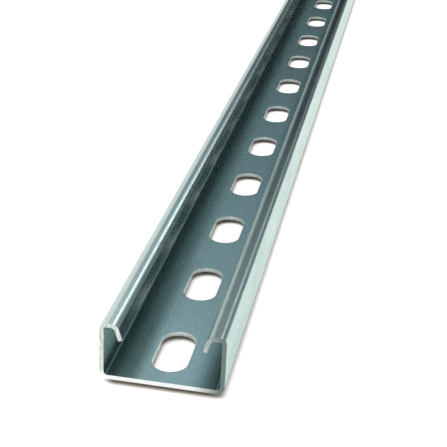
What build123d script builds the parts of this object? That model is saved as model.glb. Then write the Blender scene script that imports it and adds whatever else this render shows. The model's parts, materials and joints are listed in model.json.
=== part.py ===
from build123d import *
import os
from math import floor, radians, tan

# Shallow slotted strut channel, roll-formed from one strip of galvanised sheet.
# Millimetres. The channel lies on the back of its web with its mouth up (+Z) and runs along Y.
# The origin is under the middle of the web, half way along, and the near end is at -Y.

# Section
channel_width = 41.3        # over the outer faces of the two flanges
channel_height = 20.6       # from the back of the web to the tops of the shoulders
sheet_thickness = 1.5
web_bend_radius = 2.8       # outside radius where a flange leaves the web
shoulder_radius = 2.2       # outside radius where a flange turns inwards
shoulder_width = 5.95       # from a flange's outer face to the unrounded corner of shoulder and lip
lip_bend_radius = 2.8       # outside radius where the shoulder turns down into the lip
lip_drop = 5.8              # from the top of the channel down to the lip's edge
lip_slope = 17.2            # degrees that a lip leans from upright towards the centre line

# Length and punching
channel_length = 1000.0
slot_width = 12.0
slot_length = 26.0
slot_pitch = 50.0
first_slot_distance = 20.0  # from the near end to the centre of the first slot
end_land = 5.0              # least metal between the last slot and the far end

# What the sizes above work out to
flange_x = channel_width / 2
near_end_y = -channel_length / 2
punched_length = channel_length - first_slot_distance - slot_length / 2 - end_land
slot_count = floor(punched_length / slot_pitch) + 1
slot_centres = [(0, near_end_y + first_slot_distance + i * slot_pitch) for i in range(slot_count)]


def outer_skin():
    """The sheet's outer face in section, from the left lip's edge under the web to the right one."""
    lip_corner_x = flange_x - shoulder_width
    lip_edge_x = lip_corner_x - lip_drop * tan(radians(lip_slope))
    right_side = [
        (flange_x, 0),
        (flange_x, channel_height),
        (lip_corner_x, channel_height),
        (lip_edge_x, channel_height - lip_drop),
    ]
    left_side = [(-x, z) for x, z in reversed(right_side)]
    right_bends = [web_bend_radius, shoulder_radius, lip_bend_radius]
    bends = right_bends[::-1] + right_bends
    return FilletPolyline(*left_side, *right_side, radius=bends)


def rolled_channel():
    """The bent strip: the outer face thickened inwards, so that each bend's two radii share a centre."""
    with BuildPart() as channel:
        with BuildSketch(Plane.XZ):
            with BuildLine():
                outer_skin()
                offset(amount=sheet_thickness, side=Side.LEFT)
            make_face()
        extrude(amount=channel_length / 2, both=True)
    return channel.part


def punched_slots():
    """Tools for the row of round-ended slots, long way along the channel, right through the web."""
    with BuildPart() as tools:
        with BuildSketch():
            with Locations(*slot_centres):
                SlotOverall(slot_length, slot_width, rotation=90)
        extrude(amount=sheet_thickness)
    return tools.part


strut_channel = rolled_channel() - punched_slots()

os.makedirs("parts", exist_ok=True)
export_step(strut_channel, "parts/strut_channel.step")
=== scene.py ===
"""Looks of a shallow slotted strut channel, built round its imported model.

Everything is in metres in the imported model's frame. The channel lies on the back of its
web with its mouth up, runs along Y and has its near end at -Y.
"""

import json
import logging
import math
from contextlib import contextmanager
from dataclasses import dataclass
from enum import Enum
from typing import Callable, Iterator

import bmesh
import bpy
from mathutils import Euler, Matrix, Vector


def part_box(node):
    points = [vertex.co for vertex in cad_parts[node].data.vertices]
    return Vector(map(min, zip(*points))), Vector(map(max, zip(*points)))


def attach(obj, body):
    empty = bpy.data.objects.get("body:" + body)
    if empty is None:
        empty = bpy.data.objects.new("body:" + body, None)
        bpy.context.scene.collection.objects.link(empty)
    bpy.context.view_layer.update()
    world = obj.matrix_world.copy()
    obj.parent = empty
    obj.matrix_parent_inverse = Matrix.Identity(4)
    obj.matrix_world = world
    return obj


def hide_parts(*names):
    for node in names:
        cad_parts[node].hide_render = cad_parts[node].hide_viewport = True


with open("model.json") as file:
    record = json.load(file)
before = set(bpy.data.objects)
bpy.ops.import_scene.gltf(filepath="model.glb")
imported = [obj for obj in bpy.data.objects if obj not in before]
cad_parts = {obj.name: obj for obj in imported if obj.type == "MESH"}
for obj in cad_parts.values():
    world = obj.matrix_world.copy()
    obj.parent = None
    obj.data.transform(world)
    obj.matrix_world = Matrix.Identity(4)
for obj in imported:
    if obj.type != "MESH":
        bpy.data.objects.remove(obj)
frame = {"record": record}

NODE = "strut_channel"
BODY = "root"
MM = 0.001
NEAR_ZERO = 1e-6
CENTRE_BLEND = 1.0 * MM

Span = tuple[float, float]
Triple = tuple[float, float, float]
Colour = Triple
Socket = bpy.types.NodeSocket
Inputs = dict[str | int, object]

MIX_FIRST, MIX_SECOND = 6, 7  # places of the two colours among a Mix node's inputs

log = logging.getLogger("strut_channel")


class Face(Enum):
    """Which finish a face of the channel wears, and its place among the piece's materials."""

    OUTER = 0
    INNER = 1
    SHEARED = 2
    PUNCHED = 3


class LampRole(Enum):
    """What each soft lamp is there for."""

    UPPER_STRIP = "upper_strip_softbox"
    LOWER_STRIP = "lower_strip_softbox"


# ---------------------------------------------------------------- modelling by operators


def deselect_all() -> None:
    """Leave object mode if need be and deselect every object."""
    if bpy.context.object and bpy.context.object.mode != "OBJECT":
        bpy.ops.object.mode_set(mode="OBJECT")
    bpy.ops.object.select_all(action="DESELECT")


def pick(piece: bpy.types.Object) -> None:
    """Select one piece alone and make it the active one."""
    deselect_all()
    bpy.context.view_layer.objects.active = piece
    piece.select_set(True)


@contextmanager
def editing(piece: bpy.types.Object) -> Iterator[None]:
    """Edit mode on one piece, with everything else deselected.

    Args:
        piece: The mesh object to edit.

    Yields:
        Nothing; edit mode ends with the block.
    """
    pick(piece)
    bpy.ops.object.mode_set(mode="EDIT")
    bpy.ops.mesh.select_mode(type="VERT")
    yield
    bpy.ops.object.mode_set(mode="OBJECT")


def select_vertices(piece: bpy.types.Object, test: Callable[[Vector], bool]) -> None:
    """Select the vertices whose place passes a test, and the edges and faces between them.

    Args:
        piece: A mesh object in edit mode.
        test: Takes a vertex's place and says whether to select it.
    """
    mesh = bmesh.from_edit_mesh(piece.data)
    bpy.ops.mesh.select_all(action="DESELECT")
    for vertex in mesh.verts:
        if test(vertex.co):
            vertex.select = True
    mesh.select_flush(True)
    bmesh.update_edit_mesh(piece.data)


def apply_modifier(piece: bpy.types.Object, name: str, kind: str, **settings: object) -> None:
    """Add a modifier, set it and apply it.

    Args:
        piece: The mesh object.
        name: The modifier's name.
        kind: The modifier's type, such as "BEVEL".
        **settings: Its settings by name.
    """
    pick(piece)
    modifier = piece.modifiers.new(name, kind)
    for key, value in settings.items():
        setattr(modifier, key, value)
    bpy.ops.object.modifier_apply(modifier=name)


def apply_place(piece: bpy.types.Object) -> None:
    """Move a piece's place and turn into its mesh, so that its object sits at the origin."""
    pick(piece)
    bpy.ops.object.transform_apply(location=True, rotation=True, scale=True)


# ---------------------------------------------------------------- the channel


@dataclass
class SlotPunch:
    """The row of round-ended punches that cut the web.

    Attributes:
        width: Slot width, across the channel.
        length: Slot length over its round ends.
        pitch: Distance between neighbouring slot centres.
        first_y: The centre of the slot nearest the near end.
        last_y: No slot's centre lies beyond this.
        sheet: Thickness of the web that it cuts.
        taper: How much closer in the slot's wall stands at the back of the web.
        reach: How far the punch stands past the back of the web, each way.
        corners: Corners of the round ends, both together.
    """

    width: float
    length: float
    pitch: float
    first_y: float
    last_y: float
    sheet: float = 1.5 * MM
    taper: float = 0.30 * MM
    reach: float = 3 * MM
    corners: int = 56

    def count(self) -> int:
        """How many slots the row holds."""
        return 1 + math.floor((self.last_y - self.first_y) / self.pitch + NEAR_ZERO)

    def build(self) -> bpy.types.Object:
        """Model one punch as a stretched cone and repeat it along the row.

        Returns:
            One object that holds every punch.
        """
        half_turn = math.pi / self.corners
        slope = self.taper / self.sheet
        foot, head = (self.width / 2 - slope * (self.sheet - z) for z in (-self.reach, self.reach))
        deselect_all()
        bpy.ops.mesh.primitive_cone_add(
            vertices=self.corners,
            radius1=foot / math.cos(half_turn),
            radius2=head / math.cos(half_turn),
            depth=2 * self.reach,
            location=(0, self.first_y, 0),
            rotation=(0, 0, half_turn),
        )
        punch = bpy.context.object
        punch.name = "slot_punch"
        apply_place(punch)
        stretch = (self.length - self.width) / 2
        with editing(punch):
            for way in (-1, 1):
                select_vertices(punch, lambda place: way * (place.y - self.first_y) > NEAR_ZERO)
                bpy.ops.transform.translate(value=(0, way * stretch, 0))
        apply_modifier(
            punch, "row", "ARRAY", count=self.count(), use_relative_offset=False,
            use_constant_offset=True, constant_offset_displace=(0, self.pitch, 0),
        )
        return punch


@dataclass
class ChannelSheet:
    """The roll-formed strip: web, flanges, shoulders and lips in one bent sheet.

    Attributes:
        low: Lowest corner of the channel's box.
        high: Highest corner of the channel's box.
        punch: The row of slots in its web.
        thickness: Sheet thickness.
        web_bend_radius: Outside radius between web and flange.
        shoulder_radius: Outside radius between flange and shoulder.
        shoulder_width: From a flange's outer face to the unrounded corner of shoulder and lip.
        lip_bend_radius: Outside radius between shoulder and lip.
        lip_drop: From the shoulder's top down to the lip's edge.
        lip_slope: Degrees that a lip leans from upright towards the centre line.
        bend_steps: Facets in a right-angled bend.
        lip_round: Width of the rounding that slitting leaves along the lips' edges.
        edge_break: Width of the rounding on every other cut edge.
        sharp_from: Degrees between two faces from which their edge is rounded.
        smooth_below: Degrees between two faces below which they shade as one.
        lip_edge_band: How far below and above the lip's edge a place still lies on it.
        lip_edge_inset: How far outward of the shoulder's corner it still does.
        level_from: How far a face's normal points up or down if the face counts as level.
        turned_down: Upward part of a normal below which a face counts as turned down.
    """

    low: Vector
    high: Vector
    punch: SlotPunch
    thickness: float = 1.5 * MM
    web_bend_radius: float = 2.8 * MM
    shoulder_radius: float = 2.2 * MM
    shoulder_width: float = 5.95 * MM
    lip_bend_radius: float = 2.8 * MM
    lip_drop: float = 5.8 * MM
    lip_slope: float = 17.2
    bend_steps: int = 12
    lip_round: float = 0.45 * MM
    edge_break: float = 0.16 * MM
    sharp_from: float = 50.0
    smooth_below: float = 35.0
    lip_edge_band: Span = (1.0 * MM, 0.3 * MM)
    lip_edge_inset: float = 0.5 * MM
    level_from: float = 0.93
    turned_down: float = -0.05

    def fold(self, edge: Span, radius: float, turn: float, start: float) -> tuple[Span, float]:
        """Bend the strip that is being edited onward from its long edge, which is selected.

        Args:
            edge: The long edge's place across and up.
            radius: The bend's outside radius.
            turn: How far the strip turns, in radians.
            start: The strip's heading before the bend, in radians up from +X.

        Returns:
            The place of the long edge after the bend, and the new heading.
        """
        centre = (edge[0] - radius * math.sin(start), edge[1] + radius * math.cos(start))
        steps = max(3, round(self.bend_steps * turn / (math.pi / 2)))
        bpy.ops.mesh.spin(
            steps=steps, angle=turn, center=(centre[0], 0, centre[1]), axis=(0, 1, 0)
        )
        heading = start + turn
        end = (centre[0] + radius * math.sin(heading), centre[1] - radius * math.cos(heading))
        return end, heading

    def run(self, edge: Span, heading: float, distance: float) -> Span:
        """Extend the strip straight on from its long edge.

        Args:
            edge: The long edge's place across and up.
            heading: The strip's heading, in radians up from +X.
            distance: How far it runs.

        Returns:
            The place of the long edge after the run.
        """
        step = (distance * math.cos(heading), distance * math.sin(heading))
        bpy.ops.mesh.extrude_region_move(TRANSFORM_OT_translate={"value": (step[0], 0, step[1])})
        return edge[0] + step[0], edge[1] + step[1]

    def half_skin(self) -> bpy.types.Object:
        """Roll the right half of the outer face, from the centre line to the lip's edge.

        Returns:
            An open strip one face thick, outer side out.
        """
        length = self.high.y - self.low.y
        height = self.high.z - self.low.z
        flat = self.high.x - self.web_bend_radius
        middle = Vector((flat / 2, (self.low.y + self.high.y) / 2, self.low.z))
        deselect_all()
        bpy.ops.mesh.primitive_plane_add(size=1, location=middle)
        skin = bpy.context.object
        skin.name = "channel"
        apply_place(skin)
        lip_turn = math.pi / 2 - math.radians(self.lip_slope)
        lip_setback = self.lip_bend_radius * math.tan(lip_turn / 2)
        lip_run = self.lip_drop / math.cos(math.radians(self.lip_slope)) - lip_setback
        with editing(skin):
            bpy.ops.mesh.select_all(action="SELECT")
            bpy.ops.transform.resize(value=(flat, length, 1), center_override=middle)
            select_vertices(skin, lambda place: place.x > flat - NEAR_ZERO)
            edge, heading = (flat, self.low.z), 0.0
            edge, heading = self.fold(edge, self.web_bend_radius, math.pi / 2, heading)
            flange = height - self.web_bend_radius - self.shoulder_radius
            edge = self.run(edge, heading, flange)
            edge, heading = self.fold(edge, self.shoulder_radius, math.pi / 2, heading)
            edge = self.run(edge, heading, self.shoulder_width - self.shoulder_radius - lip_setback)
            edge, heading = self.fold(edge, self.lip_bend_radius, lip_turn, heading)
            self.run(edge, heading, lip_run)
            bpy.ops.mesh.select_all(action="SELECT")
            bpy.ops.mesh.remove_doubles(threshold=NEAR_ZERO)
        return skin

    def build(self) -> bpy.types.Object:
        """Mirror, thicken, punch and deburr the sheet.

        Returns:
            The finished channel, closed, with its place in its mesh.
        """
        channel = self.half_skin()
        apply_modifier(channel, "other_half", "MIRROR", merge_threshold=NEAR_ZERO)
        with editing(channel):
            bpy.ops.mesh.select_all(action="SELECT")
            bpy.ops.mesh.normals_make_consistent(inside=False)
        lowest = min(channel.data.polygons, key=lambda face: face.center.z)
        if lowest.normal.z > 0:
            with editing(channel):
                bpy.ops.mesh.select_all(action="SELECT")
                bpy.ops.mesh.flip_normals()
        apply_modifier(
            channel, "sheet", "SOLIDIFY", thickness=self.thickness, offset=-1.0, use_even_offset=True
        )
        with editing(channel):
            select_vertices(channel, self.along_lip_edge)
            bpy.ops.mesh.bevel(offset=self.lip_round, offset_type="OFFSET", segments=4, affect="EDGES")
        punch = self.punch.build()
        apply_modifier(channel, "slots", "BOOLEAN", operation="DIFFERENCE", object=punch, solver="EXACT")
        bpy.data.objects.remove(punch)
        with editing(channel):
            bpy.ops.mesh.select_all(action="SELECT")
            bpy.ops.mesh.remove_doubles(threshold=NEAR_ZERO)
            bpy.ops.mesh.normals_make_consistent(inside=False)
        apply_modifier(
            channel, "edges", "BEVEL", width=self.edge_break, segments=2, limit_method="ANGLE",
            angle_limit=math.radians(self.sharp_from), use_clamp_overlap=True,
        )
        pick(channel)
        bpy.ops.object.shade_smooth_by_angle(angle=math.radians(self.smooth_below))
        apply_modifier(
            channel, "flat_faces", "WEIGHTED_NORMAL", mode="FACE_AREA", weight=100, keep_sharp=True
        )
        return channel

    def along_lip_edge(self, place: Vector) -> bool:
        """Say whether a place lies on the slit edge of a lip.

        Args:
            place: A place on the channel.

        Returns:
            True along both lips' edges.
        """
        below, over = self.lip_edge_band
        inward = self.high.x - self.shoulder_width - abs(place.x)
        above = place.z - (self.high.z - self.lip_drop)
        return inward > -self.lip_edge_inset and -below < above < over

    def inner_corner(self) -> Span:
        """Give the inner corner of web and flange, across from the centre line and up."""
        return self.high.x - self.thickness, self.low.z + self.thickness

    def is_inner(self, face: bpy.types.MeshPolygon) -> bool:
        """Say whether a rolled face looks into the channel.

        Args:
            face: A rolled face of the finished channel.

        Returns:
            True on the web's floor, the flanges' inner walls and the backs of shoulders and lips.
        """
        half_sheet = self.thickness / 2
        across, up = abs(face.center.x), face.center.z
        within_walls = across < self.high.x - half_sheet
        within = within_walls and self.low.z + half_sheet < up < self.high.z - half_sheet
        below_lips = up < self.high.z - self.lip_drop
        on_wall = across > self.high.x - 2 * self.thickness
        turned_away = face.normal.z < self.turned_down or face.center.x * face.normal.x > NEAR_ZERO
        return within and (below_lips or on_wall or turned_away)

    def face_kind(self, face: bpy.types.MeshPolygon) -> Face:
        """Say how a face was made.

        Args:
            face: A face of the finished channel.

        Returns:
            Face.SHEARED on the two ends, Face.PUNCHED in the slots and along the lips' edges, and
            else Face.INNER or Face.OUTER.
        """
        rim = 2 * self.edge_break
        if min(face.center.y - self.low.y, self.high.y - face.center.y) < rim:
            return Face.SHEARED
        in_slot = (
            abs(face.center.x) < self.punch.width / 2 + rim
            and face.center.z < self.low.z + self.thickness + rim
            and abs(face.normal.z) < self.level_from
        )
        if in_slot or self.along_lip_edge(face.center):
            return Face.PUNCHED
        return Face.INNER if self.is_inner(face) else Face.OUTER

    def dress(self, channel: bpy.types.Object, finishes: dict[Face, bpy.types.Material]) -> None:
        """Give each face its finish.

        Args:
            channel: The finished channel.
            finishes: A material for each kind of face.
        """
        channel.data.materials.clear()
        for kind in Face:
            channel.data.materials.append(finishes[kind])
        for face in channel.data.polygons:
            face.material_index = self.face_kind(face).value


# ---------------------------------------------------------------- finishes


class Shader:
    """A material's node tree, with short ways to add and join nodes."""

    def __init__(self, name: str) -> None:
        """Start an empty material of that name with its output and a Principled shader."""
        self.material = bpy.data.materials.new(name)
        self.material.use_nodes = True
        self.tree = self.material.node_tree
        self.tree.nodes.clear()
        self.surface = self.add("ShaderNodeBsdfPrincipled")
        self.add("ShaderNodeOutputMaterial", {"Surface": self.surface.outputs["BSDF"]})
        self.place = self.add("ShaderNodeTexCoord").outputs["Object"]

    def feed(self, node: bpy.types.Node, inputs: Inputs) -> None:
        """Join sockets to some of a node's inputs and set the others.

        Args:
            node: The node.
            inputs: A socket, number, vector or RGB triple for each input's name or place.
        """
        for name, value in inputs.items():
            target = node.inputs[name]
            if isinstance(value, Socket):
                self.tree.links.new(value, target)
            elif target.type == "RGBA":
                target.default_value = (*value, 1.0)
            else:
                target.default_value = value

    def add(self, kind: str, inputs: Inputs | None = None, **settings: object) -> bpy.types.Node:
        """Add a node.

        Args:
            kind: The node's type.
            inputs: What its inputs get, as feed takes it.
            **settings: Its properties by name.

        Returns:
            The new node.
        """
        node = self.tree.nodes.new(kind)
        for key, value in settings.items():
            setattr(node, key, value)
        self.feed(node, inputs or {})
        return node

    def axis(self, name: str) -> Socket:
        """Give the piece's own coordinate X, Y or Z, in metres."""
        return self.add("ShaderNodeSeparateXYZ", {"Vector": self.place}).outputs[name]

    def noise(self, stretch: Triple, detail: float = 3.0, rough: float = 0.5) -> Socket:
        """Give a noise pattern.

        Args:
            stretch: Cycles a metre along X, Y and Z.
            detail: Octaves.
            rough: How strong the finer octaves are.

        Returns:
            A value socket around 0.5.
        """
        scaled = self.add("ShaderNodeMapping", {"Vector": self.place, "Scale": stretch}).outputs["Vector"]
        pattern = {"Vector": scaled, "Scale": 1.0, "Detail": detail, "Roughness": rough}
        return self.add("ShaderNodeTexNoise", pattern).outputs["Fac"]

    def range(self, value: Socket, low: float, high: float, to_low: float, to_high: float) -> Socket:
        """Map a value from one range to another, clamped.

        Args:
            value: The socket to map.
            low: Its value that gives to_low.
            high: Its value that gives to_high.
            to_low: The result at low.
            to_high: The result at high.

        Returns:
            A value socket.
        """
        ends = {"From Min": low, "From Max": high, "To Min": to_low, "To Max": to_high}
        return self.add("ShaderNodeMapRange", {"Value": value, **ends}).outputs["Result"]

    def maths(self, operation: str, first: Socket, second: Socket | float) -> Socket:
        """Combine two values by one of the Math node's operations."""
        return self.add("ShaderNodeMath", {0: first, 1: second}, operation=operation).outputs["Value"]

    def length(self, first: Socket, second: Socket) -> Socket:
        """Give the length of the flat vector that has these two parts."""
        squares = [self.maths("POWER", part, 2.0) for part in (first, second)]
        return self.maths("POWER", self.maths("ADD", *squares), 0.5)

    def beyond(self, across: float, up: float, fade: float, most: float) -> Socket:
        """Give a strip along the channel that begins at an edge and goes on outward and upward.

        Args:
            across: Where it begins, right of the centre line, or left of it if negative.
            up: Height at which it begins.
            fade: Distance over which it sets in.
            most: Its value where it is full.

        Returns:
            A value socket, 0 off the strip.
        """
        if across > 0:
            aside = self.range(self.axis("X"), across, across + fade, 0.0, 1.0)
        else:
            aside = self.range(self.axis("X"), across - fade, across, 1.0, 0.0)
        above = self.range(self.axis("Z"), up, up + fade, 0.0, most)
        return self.maths("MULTIPLY", aside, above)

    def sides(self, left: float, right: float) -> Socket:
        """Give one value left of the centre line and another right of it, joined across it."""
        return self.range(self.axis("X"), -CENTRE_BLEND, CENTRE_BLEND, left, right)

    def blend(self, amount: Socket, first: Socket | Colour, second: Socket | Colour) -> Socket:
        """Mix two colours.

        Args:
            amount: How much of the second, as a socket.
            first: A colour socket or an RGB triple.
            second: A colour socket or an RGB triple.

        Returns:
            A colour socket.
        """
        parts = {"Factor": amount, MIX_FIRST: first, MIX_SECOND: second}
        node = self.add("ShaderNodeMix", parts, data_type="RGBA")
        return next(socket for socket in node.outputs if socket.type == "RGBA")

    def bump(self, height: Socket, rise: float, strength: float, under: Socket | None = None) -> Socket:
        """Raise a height pattern as bump.

        Args:
            height: The pattern's value socket.
            rise: How high its range from 0 to 1 stands.
            strength: The bump's strength.
            under: A normal socket to add to, if any.

        Returns:
            A normal socket.
        """
        parts = {"Height": height, "Distance": rise, "Strength": strength}
        if under is not None:
            parts["Normal"] = under
        return self.add("ShaderNodeBump", parts).outputs["Normal"]


class Mark:
    """A local change of the zinc's colour or roughness."""

    def tint(self, shader: Shader, colour: Socket) -> Socket:
        """Give the colour with this mark on it, unchanged unless a mark says otherwise."""
        return colour

    def roughen(self, shader: Shader, gloss: Socket) -> Socket:
        """Give the roughness with this mark on it, unchanged unless a mark says otherwise."""
        return gloss


@dataclass(frozen=True)
class PaintedShoulderShade(Mark):
    """Painted shade: a dark strip along the top of the right shoulder that dims what the zinc mirrors there.

    Attributes:
        along: Places along the channel between which it darkens.
        share: How much of the zinc it covers up to the first of them.
        far_gain: How many times more it covers from the second on.
        colour: Its colour.
        across: Where the strip begins, right of the centre line.
        up: Height at which it begins.
        fade: Distance over which it sets in.
    """

    along: Span
    share: float = 0.50
    far_gain: float = 1.5
    colour: Colour = (0.03, 0.04, 0.045)
    across: float = 15.9 * MM
    up: float = 19.7 * MM
    fade: float = 0.7 * MM

    def tint(self, shader: Shader, colour: Socket) -> Socket:
        """Darken the strip.

        Args:
            shader: The finish's node tree.
            colour: The colour under it.

        Returns:
            A colour socket.
        """
        # Painted shade, growing darker further along the channel.
        strip = shader.beyond(self.across, self.up, self.fade, self.share)
        growth = shader.range(shader.axis("Y"), *self.along, 1.0, self.far_gain)
        return shader.blend(shader.maths("MULTIPLY", strip, growth), colour, self.colour)


@dataclass(frozen=True)
class Scuffing(Mark):
    """Matter zinc on the right lip and on the right shoulder's outer bend.

    Attributes:
        lip: Where across the channel it begins and ends on the lip.
        lip_gain: Roughness that it adds on the lip.
        bend_across: Where it begins on the bend, right of the centre line.
        bend_up: Height at which it begins on the bend.
        bend_gain: Roughness that it adds on the bend.
        fade: Distance over which each sets in.
    """

    lip: Span = (11.0 * MM, 15.8 * MM)
    lip_gain: float = 0.15
    bend_across: float = 18.3 * MM
    bend_up: float = 19.2 * MM
    bend_gain: float = 0.08
    fade: float = 0.7 * MM

    def roughen(self, shader: Shader, gloss: Socket) -> Socket:
        """Add its roughness.

        Args:
            shader: The finish's node tree.
            gloss: The roughness under it.

        Returns:
            A value socket.
        """
        start, end = self.lip
        begins = shader.range(shader.axis("X"), start, start + self.fade, 0.0, 1.0)
        ends = shader.range(shader.axis("X"), end - self.fade, end, self.lip_gain, 0.0)
        on_lip = shader.maths("MULTIPLY", begins, ends)
        on_bend = shader.beyond(self.bend_across, self.bend_up, self.fade, self.bend_gain)
        return shader.maths("ADD", gloss, shader.maths("ADD", on_lip, on_bend))


@dataclass(frozen=True)
class PaintedShoulderHighlight(Mark):
    """A painted highlight: a pale strip along the left shoulder's outer bend, where the zinc is also matter.

    Attributes:
        share: How much of the zinc it covers.
        colour: Its colour.
        matt: Roughness that it adds.
        across: Where it begins, a negative place, left of the centre line.
        up: Height at which it begins.
        fade: Distance over which it sets in.
    """

    share: float = 0.6
    colour: Colour = (0.86, 0.94, 0.91)
    matt: float = 0.35
    across: float = -17.5 * MM
    up: float = 17.8 * MM
    fade: float = 0.7 * MM

    def tint(self, shader: Shader, colour: Socket) -> Socket:
        """Paint the pale highlight on the bend."""
        # The pale colour is a painted highlight; the added roughness is the zinc's own.
        return shader.blend(shader.beyond(self.across, self.up, self.fade, self.share), colour, self.colour)

    def roughen(self, shader: Shader, gloss: Socket) -> Socket:
        """Add its roughness."""
        return shader.maths("ADD", gloss, shader.beyond(self.across, self.up, self.fade, self.matt))


@dataclass(frozen=True)
class PaintedWallShade(Mark):
    """The flanges' inner walls, greener than the web, with painted light and shade: the left wall lighter,
    the right wall much darker.

    Attributes:
        left: Colour of the left wall.
        right: Colour of the right wall.
        rise: Height at which the walls' colours begin, and where they are full.
    """

    left: Colour = (0.46, 0.59, 0.53)
    right: Colour = (0.08, 0.15, 0.09)
    rise: Span = (2.0 * MM, 6.0 * MM)

    def tint(self, shader: Shader, colour: Socket) -> Socket:
        """Colour the walls, with their painted light and shade."""
        # Painted light and shade: a lit left wall and a shaded right wall.
        wall = shader.blend(shader.sides(0.0, 1.0), self.left, self.right)
        return shader.blend(shader.range(shader.axis("Z"), *self.rise, 0.0, 1.0), colour, wall)


@dataclass(frozen=True)
class PaintedCornerShade(Mark):
    """Painted shade along the inner corners of web and flanges.

    Attributes:
        corner: The inner corner, across from the centre line and up.
        along: Places along the channel between which the shade spreads further out.
        share: How much of the zinc it covers in the corner.
        colour: Its colour.
        reach: Distance from the corner where it is thickest, and where it ends.
        spread: How many times further it reaches from the second place on.
        right_spread: How many times further it reaches on the right.
    """

    corner: Span
    along: Span
    share: float = 0.75
    colour: Colour = (0.03, 0.07, 0.065)
    reach: Span = (2.5 * MM, 6.0 * MM)
    spread: float = 1.4
    right_spread: float = 1.6

    def tint(self, shader: Shader, colour: Socket) -> Socket:
        """Paint the shade into the corners.

        Args:
            shader: The finish's node tree.
            colour: The colour under it.

        Returns:
            A colour socket.
        """
        across, up = self.corner
        aside = shader.maths("SUBTRACT", shader.maths("ABSOLUTE", shader.axis("X"), 0.0), across)
        above = shader.maths("SUBTRACT", shader.axis("Z"), up)
        further = shader.range(shader.axis("Y"), *self.along, 1.0, 1.0 / self.spread)
        away = shader.maths("MULTIPLY", shader.length(aside, above), further)
        away = shader.maths("MULTIPLY", away, shader.sides(1.0, 1.0 / self.right_spread))
        # Painted shade, darkest at the corner and fading out at the end of its reach.
        return shader.blend(shader.range(away, *self.reach, self.share, 0.0), colour, self.colour)


@dataclass(frozen=True)
class Speck(Mark):
    """One small pale speck on the web.

    Attributes:
        place: Its middle, across and along.
        radius: Its radius.
        colour: Its colour.
    """

    place: Span
    radius: float = 0.45 * MM
    colour: Colour = (0.86, 0.94, 0.91)

    def tint(self, shader: Shader, colour: Socket) -> Socket:
        """Colour the speck.

        Args:
            shader: The finish's node tree.
            colour: The colour under it.

        Returns:
            A colour socket.
        """
        aside = shader.maths("SUBTRACT", shader.axis("X"), self.place[0])
        along = shader.maths("SUBTRACT", shader.axis("Y"), self.place[1])
        spot = shader.range(shader.length(aside, along), self.radius / 2, self.radius, 1.0, 0.0)
        return shader.blend(spot, colour, self.colour)


@dataclass(frozen=True)
class ZincSkin:
    """The zinc on rolled faces: fine spangle, cloudy dulling and faint lines from the rolls.

    Attributes:
        name: The material's name.
        marks: What is on it, the lowest first.
        bright: Colour where the zinc is clean.
        dull: Colour where it has clouded.
        rim: Colour that the zinc takes when seen at a glance.
        metal: How metallic it is.
        gloss: Least and most roughness.
        relief: Strength of the grain and the roll lines as relief.
        spangle: Crystals a metre.
        cloud: Clouded patches a metre across the channel.
        cloud_draw: Share of that number along it, which draws the patches out.
        roll_lines: Roll lines a metre across, along and up.
        contrast: Noise levels at which clouds and roll lines begin, and where they are full.
        shares: How much clouds, crystals and roll lines each dull the zinc.
        streaks: Share of the dark drawn streaks.
        streak_colour: Their colour.
        streak_lines: Streaks a metre across, along and up.
        streak_edge: Noise level at which a streak begins, and where it is full.
        grain: Grains a metre across, along and up.
        heights: How high grain, roll lines and crystals stand.
    """

    name: str
    marks: tuple[Mark, ...]
    bright: Colour = (0.53, 0.645, 0.62)
    dull: Colour = (0.38, 0.49, 0.485)
    rim: Colour = (0.73, 0.81, 0.785)
    metal: float = 1.0
    gloss: Span = (0.20, 0.30)
    relief: float = 0.12
    spangle: float = 420.0
    cloud: float = 45.0
    cloud_draw: float = 0.35
    roll_lines: Triple = (900.0, 9.0, 900.0)
    contrast: Span = (0.3, 0.7)
    shares: Triple = (0.50, 0.30, 0.30)
    streaks: float = 0.35
    streak_colour: Colour = (0.20, 0.24, 0.235)
    streak_lines: Triple = (420.0, 14.0, 420.0)
    streak_edge: Span = (0.52, 0.70)
    grain: Triple = (1500.0, 400.0, 1500.0)
    heights: Triple = (0.012 * MM, 0.015 * MM, 0.010 * MM)

    def crystals(self, shader: Shader) -> bpy.types.Node:
        """Grow the spangle, as a node whose Red and Green differ from crystal to crystal."""
        cells = shader.add("ShaderNodeTexVoronoi", {"Vector": shader.place, "Scale": self.spangle})
        return shader.add("ShaderNodeSeparateColor", {"Color": cells.outputs["Color"]})

    def material(self) -> bpy.types.Material:
        """Build the finish.

        Returns:
            Its material.
        """
        shader = Shader(self.name)
        crystals = self.crystals(shader)
        patches = shader.noise((self.cloud, self.cloud * self.cloud_draw, self.cloud), 2.0)
        clouds = shader.range(patches, *self.contrast, 0.0, 1.0)
        lines = shader.range(shader.noise(self.roll_lines, 4.0, 0.6), *self.contrast, 0.0, 1.0)
        layers = zip((clouds, crystals.outputs["Red"], lines), self.shares)
        first, second, third = (shader.maths("MULTIPLY", layer, share) for layer, share in layers)
        mix = shader.maths("ADD", shader.maths("ADD", first, second), third)
        streaked = shader.noise(self.streak_lines, 5.0, 0.65)
        streaked = shader.range(streaked, *self.streak_edge, 0.0, self.streaks)
        colour = shader.blend(streaked, shader.blend(mix, self.bright, self.dull), self.streak_colour)
        gloss = shader.range(mix, 0.1, 0.9, *self.gloss)
        for mark in self.marks:
            colour = mark.tint(shader, colour)
            gloss = mark.roughen(shader, gloss)
        normal = None
        patterns = (shader.noise(self.grain, 2.0), lines, crystals.outputs["Green"])
        for pattern, height in zip(patterns, self.heights):
            normal = shader.bump(pattern, height, self.relief, normal)
        look = {"Base Color": colour, "Roughness": gloss, "Normal": normal}
        shader.feed(shader.surface, {**look, "Specular Tint": self.rim, "Metallic": self.metal})
        return shader.material


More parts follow.
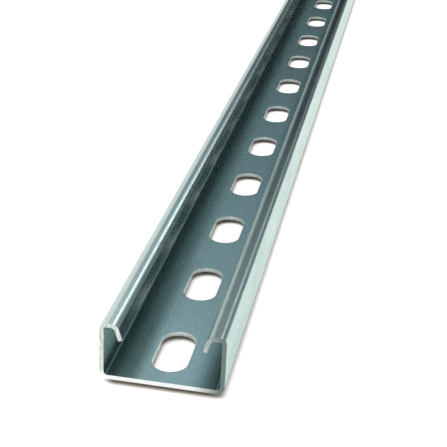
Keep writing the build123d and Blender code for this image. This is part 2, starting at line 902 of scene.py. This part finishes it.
@dataclass(frozen=True)
class CutZinc:
    """Cut edges: pale, matt, with the fine vertical drag of the blade or punch.

    Attributes:
        name: The material's name.
        pale: Colour of the clean cut.
        drawn: Colour where the blade has drawn zinc over it.
        foot: Colour of the clean cut low down, next to the web's back; its paler default, which the sheared
            ends keep, is painted light.
        foot_drawn: Colour there where the blade has drawn zinc over it; its pale default is painted light
            too.
        foot_height: Height up to which the foot's colours hold.
        foot_fade: Distance above that over which they give way.
        painted_right_shade: Painted shade: the darker colour that the cut takes toward the right flange.
        painted_right_shade_from: Where across the channel that begins, and where it is full.
        metal: How metallic it is.
        gloss: Least and most roughness.
        drag: Drag marks a metre across, along and up.
        drag_edge: Noise level at which a mark begins, and where it is full.
        height: How high the marks stand.
        relief: Their strength as relief.
    """

    name: str
    pale: Colour = (0.76, 0.83, 0.80)
    drawn: Colour = (0.42, 0.48, 0.46)
    foot: Colour = (0.95, 0.98, 0.97)
    foot_drawn: Colour = (0.92, 0.97, 0.96)
    foot_height: float = 1.6 * MM
    foot_fade: float = 2.0 * MM
    painted_right_shade: Colour = (0.13, 0.19, 0.175)
    painted_right_shade_from: Span = (10.0 * MM, 19.0 * MM)
    metal: float = 0.35
    gloss: Span = (0.42, 0.60)
    drag: Triple = (1400.0, 1400.0, 300.0)
    drag_edge: Span = (0.35, 0.7)
    height: float = 0.03 * MM
    relief: float = 0.5

    def material(self) -> bpy.types.Material:
        """Build the finish.

        Returns:
            Its material.
        """
        shader = Shader(self.name)
        marks = shader.range(shader.noise(self.drag), *self.drag_edge, 0.0, 1.0)
        upper = shader.blend(marks, self.pale, self.drawn)
        lower = shader.blend(marks, self.foot, self.foot_drawn)
        foot_end = self.foot_height + self.foot_fade
        high = shader.range(shader.axis("Z"), self.foot_height, foot_end, 0.0, 1.0)
        # Painted shade: the cut darkens toward the right flange.
        painted_right_shade = shader.range(shader.axis("X"), *self.painted_right_shade_from, 0.0, 1.0)
        colour = shader.blend(painted_right_shade, shader.blend(high, lower, upper), self.painted_right_shade)
        gloss = shader.range(marks, 0.0, 1.0, *self.gloss)
        normal = shader.bump(marks, self.height, self.relief)
        look = {"Base Color": colour, "Roughness": gloss, "Normal": normal, "Metallic": self.metal}
        shader.feed(shader.surface, look)
        return shader.material


# ---------------------------------------------------------------- studio


def heading_vector(aside: float, up: float) -> Vector:
    """Point a unit vector from ahead (+Y) to the right and up.

    Args:
        aside: Degrees to the right of ahead.
        up: Degrees above the horizon.

    Returns:
        The unit vector.
    """
    turn, rise = math.radians(aside), math.radians(up)
    return Vector((math.sin(turn) * math.cos(rise), math.cos(turn) * math.cos(rise), math.sin(rise)))


@dataclass
class WhiteFloor:
    """A wide white table top that reads as plain white and keeps the contact shadow.

    Attributes:
        level: Height of the work's underside.
        gap: How far below the work the table lies, so that light reaches the contact shadow.
        span: The table's width each way.
        paint: Its colour, a warm white.
        shade: Its colour in the contact shadow.
        light_from: Direction that the contact shadow is cast from.
        glow: How much brighter than its paint the open table is seen, by eye and in metal.
        shadow_reach: How far from the work the contact shadow reaches.
        shadow_edge: Openness at which the shadow is full, and at which it ends.
        glow_edge: Openness at which the glow begins, and at which it is full.
        rays: Rays that measure the openness.
        matt: Its roughness.
    """

    level: float
    gap: float = 1.2 * MM
    span: float = 12.0
    paint: Colour = (0.82, 0.79, 0.76)
    shade: Colour = (0.25, 0.175, 0.12)
    light_from: Triple = (-0.55, 0.65, 0.52)
    glow: float = 0.70
    shadow_reach: float = 3.4 * MM
    shadow_edge: Span = (0.45, 0.80)
    glow_edge: Span = (0.50, 0.85)
    rays: int = 8
    matt: float = 0.9

    def build(self) -> bpy.types.Object:
        """Lay the table top.

        Returns:
            The floor's object.
        """
        deselect_all()
        bpy.ops.mesh.primitive_plane_add(size=self.span, location=(0, 0, self.level - self.gap))
        floor = bpy.context.object
        floor.name = "floor"
        with editing(floor):
            bpy.ops.mesh.select_all(action="SELECT")
            bpy.ops.mesh.subdivide(number_cuts=3)
        apply_place(floor)
        floor.data.materials.append(self.material())
        return floor

    def material(self) -> bpy.types.Material:
        """Paint it white.

        Returns:
            Its material.
        """
        shader = Shader("white_table")
        path = shader.add("ShaderNodeLightPath").outputs
        seen = shader.maths("MAXIMUM", path["Is Camera Ray"], path["Is Glossy Ray"])
        seen = shader.maths("MAXIMUM", seen, path["Is Transmission Ray"])
        toward = shader.add("ShaderNodeCombineXYZ", dict(zip("XYZ", self.light_from))).outputs["Vector"]
        reach = {"Distance": self.shadow_reach, "Normal": toward}
        openness = shader.add("ShaderNodeAmbientOcclusion", reach, samples=self.rays).outputs["AO"]
        shadow = shader.range(openness, *self.shadow_edge, 1.0, 0.0)
        clear = shader.range(openness, *self.glow_edge, 0.0, self.glow)
        look = {
            "Base Color": shader.blend(shadow, self.paint, self.shade),
            "Roughness": self.matt,
            "Specular IOR Level": 0.0,
            "Emission Color": (1.0, 1.0, 1.0),
            "Emission Strength": shader.maths("MULTIPLY", clear, seen),
        }
        shader.feed(shader.surface, look)
        shader.material.cycles.emission_sampling = "NONE"
        return shader.material


@dataclass
class StudioTent:
    """A white tent all round the set, the same to the eye and to metal, open behind the far end.

    The opening is a dark oval whose edge fades into the tent. It shapes what the zinc mirrors,
    and it is out of the camera's sight.

    Attributes:
        target: The point that the opening faces.
        cloth: Brightness of the tent.
        heading: Direction of the opening's middle, as degrees right of ahead and degrees up.
        distance: How far off the opening is.
        spread: Half the opening's width and half its height, in degrees.
        levels: Brightness and tint from the middle of the opening to its edge.
        corners: Corners of the oval.
    """

    target: Vector
    cloth: float = 1.0
    heading: Span = (8.0, 5.0)
    distance: float = 3.0
    spread: Span = (37.0, 33.0)
    levels: tuple[tuple[float, Colour], ...] = (
        (0.0, (0.02, 0.025, 0.03)),
        (0.40, (0.04, 0.05, 0.06)),
        (0.60, (0.20, 0.25, 0.29)),
        (0.80, (0.50, 0.57, 0.62)),
        (1.0, (1.0, 1.0, 1.0)),
    )
    corners: int = 64

    def cloth_world(self) -> bpy.types.World:
        """Light the world as an even white tent.

        Returns:
            The world.
        """
        world = bpy.data.worlds.new("studio_tent")
        bpy.context.scene.world = world
        world.use_nodes = True
        background = world.node_tree.nodes["Background"]
        background.inputs["Color"].default_value = (1.0, 1.0, 1.0, 1.0)
        background.inputs["Strength"].default_value = self.cloth
        return world

    def opening(self) -> bpy.types.Object:
        """Hang the dark oval.

        Returns:
            Its object.
        """
        way = heading_vector(*self.heading)
        middle = self.target + self.distance * way
        turn = (-way).to_track_quat("Z", "Y").to_euler()
        half = [self.distance * math.tan(math.radians(angle)) for angle in self.spread]
        deselect_all()
        bpy.ops.mesh.primitive_circle_add(
            vertices=self.corners, radius=1.0, fill_type="TRIFAN", location=middle, rotation=turn
        )
        oval = bpy.context.object
        oval.name = "tent_opening"
        oval.scale = (half[0], half[1], 1.0)
        apply_place(oval)
        oval.visible_camera = False
        oval.data.materials.append(self.opening_material(middle, turn, half))
        return oval

    def opening_material(self, middle: Vector, turn: Euler, half: list[float]) -> bpy.types.Material:
        """Shade the oval from its dark middle to its edge.

        Args:
            middle: The oval's middle.
            turn: Its rotation.
            half: Half its width and half its height.

        Returns:
            Its material.
        """
        shader = Shader("dark_opening")
        shape = {"Location": middle, "Rotation": turn, "Scale": (half[0], half[1], 1.0)}
        own = shader.add("ShaderNodeMapping", {"Vector": shader.place, **shape}, vector_type="TEXTURE")
        length = shader.add("ShaderNodeVectorMath", {0: own.outputs["Vector"]}, operation="LENGTH")
        ramp = shader.add("ShaderNodeValToRGB", {"Fac": length.outputs["Value"]})
        stops = ramp.color_ramp.elements
        stops[0].position, stops[0].color = self.levels[0][0], (*self.levels[0][1], 1.0)
        stops[1].position, stops[1].color = self.levels[-1][0], (*self.levels[-1][1], 1.0)
        for place, colour in self.levels[1:-1]:
            stops.new(place).color = (*colour, 1.0)
        look = {
            "Base Color": (0.0, 0.0, 0.0),
            "Specular IOR Level": 0.0,
            "Emission Strength": self.cloth,
            "Emission Color": ramp.outputs["Color"],
        }
        shader.feed(shader.surface, look)
        return shader.material


@dataclass
class StripSoftbox:
    """A long narrow lamp, hung slantwise behind the far end, that draws the line along the lips.

    Attributes:
        role: What it is there for.
        target: The point that it faces.
        foot: Direction of its lower end from the target, as degrees right of ahead and degrees up.
        head: Direction of its upper end, the same way.
        width: Its width.
        watts: Its power.
        distance: How far off it hangs.
    """

    role: LampRole
    target: Vector
    foot: Span
    head: Span
    width: float
    watts: float
    distance: float = 2.8

    def end(self, direction: Span) -> Vector:
        """Place one end of the lamp."""
        return self.target + self.distance * heading_vector(*direction)

    def build(self) -> bpy.types.Object:
        """Hang the lamp.

        Returns:
            The lamp's object.
        """
        foot, head = self.end(self.foot), self.end(self.head)
        middle = (foot + head) / 2
        along = (head - foot).normalized()
        facing = (middle - self.target).normalized()
        across = along.cross(facing).normalized()
        data = bpy.data.lights.new(self.role.value, "AREA")
        data.shape = "RECTANGLE"
        data.size, data.size_y = self.width, (head - foot).length
        data.energy = self.watts
        lamp = bpy.data.objects.new(self.role.value, data)
        bpy.context.scene.collection.objects.link(lamp)
        turn = Matrix((across, along, across.cross(along))).transposed().to_4x4()
        lamp.matrix_world = Matrix.Translation(middle) @ turn
        return lamp


@dataclass
class ProductCamera:
    """The camera beside the near end, looking down along the channel.

    Attributes:
        near_end: The middle of the web's back at the near end.
        offset: From there to the camera.
        azimuth: Degrees that the camera stands round to the right of straight ahead.
        elevation: Degrees that it looks down.
        roll: Degrees that its right side is lifted.
        lens: Focal length in millimetres on a 36 mm sensor.
    """

    near_end: Vector
    offset: Vector = Vector((66.23, -302.52, 201.82)) * MM
    azimuth: float = 9.13
    elevation: float = 24.82
    roll: float = 2.90
    lens: float = 91.53

    def build(self) -> bpy.types.Object:
        """Set the camera up and make it the scene's.

        Returns:
            The camera's object.
        """
        data = bpy.data.cameras.new("product_camera")
        data.lens = self.lens
        data.sensor_width = 36.0
        camera = bpy.data.objects.new("product_camera", data)
        bpy.context.scene.collection.objects.link(camera)
        turn, tilt = math.radians(self.azimuth), math.radians(self.elevation)
        back = Vector((math.sin(turn) * math.cos(tilt), -math.cos(turn) * math.cos(tilt), math.sin(tilt)))
        right = Vector((0, 0, 1)).cross(back).normalized()
        up = back.cross(right)
        level = Matrix((right, up, back)).transposed().to_4x4()
        lifted = level @ Matrix.Rotation(math.radians(self.roll), 4, "Z")
        camera.matrix_world = Matrix.Translation(self.near_end + self.offset) @ lifted
        bpy.context.scene.camera = camera
        return camera


def slot_row() -> SlotPunch:
    """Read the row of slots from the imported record's mounts.

    Returns:
        The row of punches.
    """
    pairs = [mount for mount in frame["record"]["mounts"] if mount["kind"] == "bolt_pattern"]
    dims = pairs[0]["dims"]
    pitch = dims["spacing_y_mm"] * MM
    centres = [mount["pos_m"][1] for mount in pairs]
    return SlotPunch(
        width=2 * dims["hole_r_mm"] * MM,
        length=dims["slot_length_mm"] * MM,
        pitch=pitch,
        first_y=min(centres) - pitch / 2,
        last_y=max(centres) + pitch / 2,
    )


def finishes(sheet: ChannelSheet) -> dict[Face, bpy.types.Material]:
    """Make the four finishes that the channel wears.

    Args:
        sheet: The channel, for where its corner and its near end are.

    Returns:
        A material for each kind of face.
    """
    further_on = (sheet.low.y + 50.0 * MM, sheet.low.y + 250.0 * MM)
    speck = (-11.0 * MM, sheet.low.y + 85.0 * MM)
    # The outer zinc carries painted shade on the right shoulder and a painted highlight on the left
    # shoulder's outer bend.
    outer = ZincSkin("outer_zinc", marks=(PaintedShoulderShade(further_on), Scuffing(), PaintedShoulderHighlight()))
    inner = ZincSkin(
        "inner_zinc",
        # The inner zinc carries painted light and shade on the walls and painted shade in the inner corners.
        marks=(PaintedWallShade(), PaintedCornerShade(sheet.inner_corner(), further_on), Speck(speck)),
        bright=(0.295, 0.46, 0.485),
        dull=(0.205, 0.34, 0.368),
        metal=0.74,
        gloss=(0.22, 0.32),
        relief=0.3,
        streaks=0.12,
    )
    punched = CutZinc(
        "punched_edges",
        pale=(0.92, 0.98, 0.96),
        drawn=(0.72, 0.80, 0.77),
        foot=(0.58, 0.66, 0.63),
        foot_drawn=(0.43, 0.51, 0.48),
        foot_height=0.4 * MM,
        foot_fade=0.5 * MM,
    )
    return {
        Face.OUTER: outer.material(),
        Face.INNER: inner.material(),
        # The sheared ends keep the paler foot, painted light on the web's cut, and the painted shade toward
        # the right flange.
        Face.SHEARED: CutZinc("sheared_ends").material(),
        Face.PUNCHED: punched.material(),
    }


def main() -> None:
    """Build the channel, its studio and the camera, and report each piece."""
    logging.basicConfig(level=logging.INFO, format="%(name)s: %(message)s")
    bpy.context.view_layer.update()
    bpy.context.scene.view_settings.view_transform = "Standard"
    low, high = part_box(NODE)

    sheet = ChannelSheet(low, high, slot_row())
    channel = sheet.build()
    sheet.dress(channel, finishes(sheet))
    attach(channel, BODY)
    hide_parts(NODE)
    log.info("%s: %d faces, %d slots", channel.name, len(channel.data.polygons), sheet.punch.count())

    floor = WhiteFloor(low.z).build()
    log.info("%s: %.1f m wide", floor.name, floor.dimensions.x)
    near = Vector((0, low.y, low.z))
    tent = StudioTent(near)
    log.info("%s: strength %.1f", tent.cloth_world().name, tent.cloth)
    opening = tent.opening()
    log.info("%s: %.1f m wide", opening.name, opening.dimensions.x)
    lamps = (
        StripSoftbox(LampRole.UPPER_STRIP, near, foot=(12.0, 25.0), head=(0.5, 36.0), width=0.36, watts=2.9),
        StripSoftbox(LampRole.LOWER_STRIP, near, foot=(15.5, 16.0), head=(12.0, 25.0), width=0.32, watts=1.0),
    )
    for lamp in lamps:
        log.info("%s: %.1f W", lamp.build().name, lamp.watts)
    camera = ProductCamera(near).build()
    log.info("%s: %.1f mm lens", camera.name, camera.data.lens)


if __name__ == "__main__":
    main()
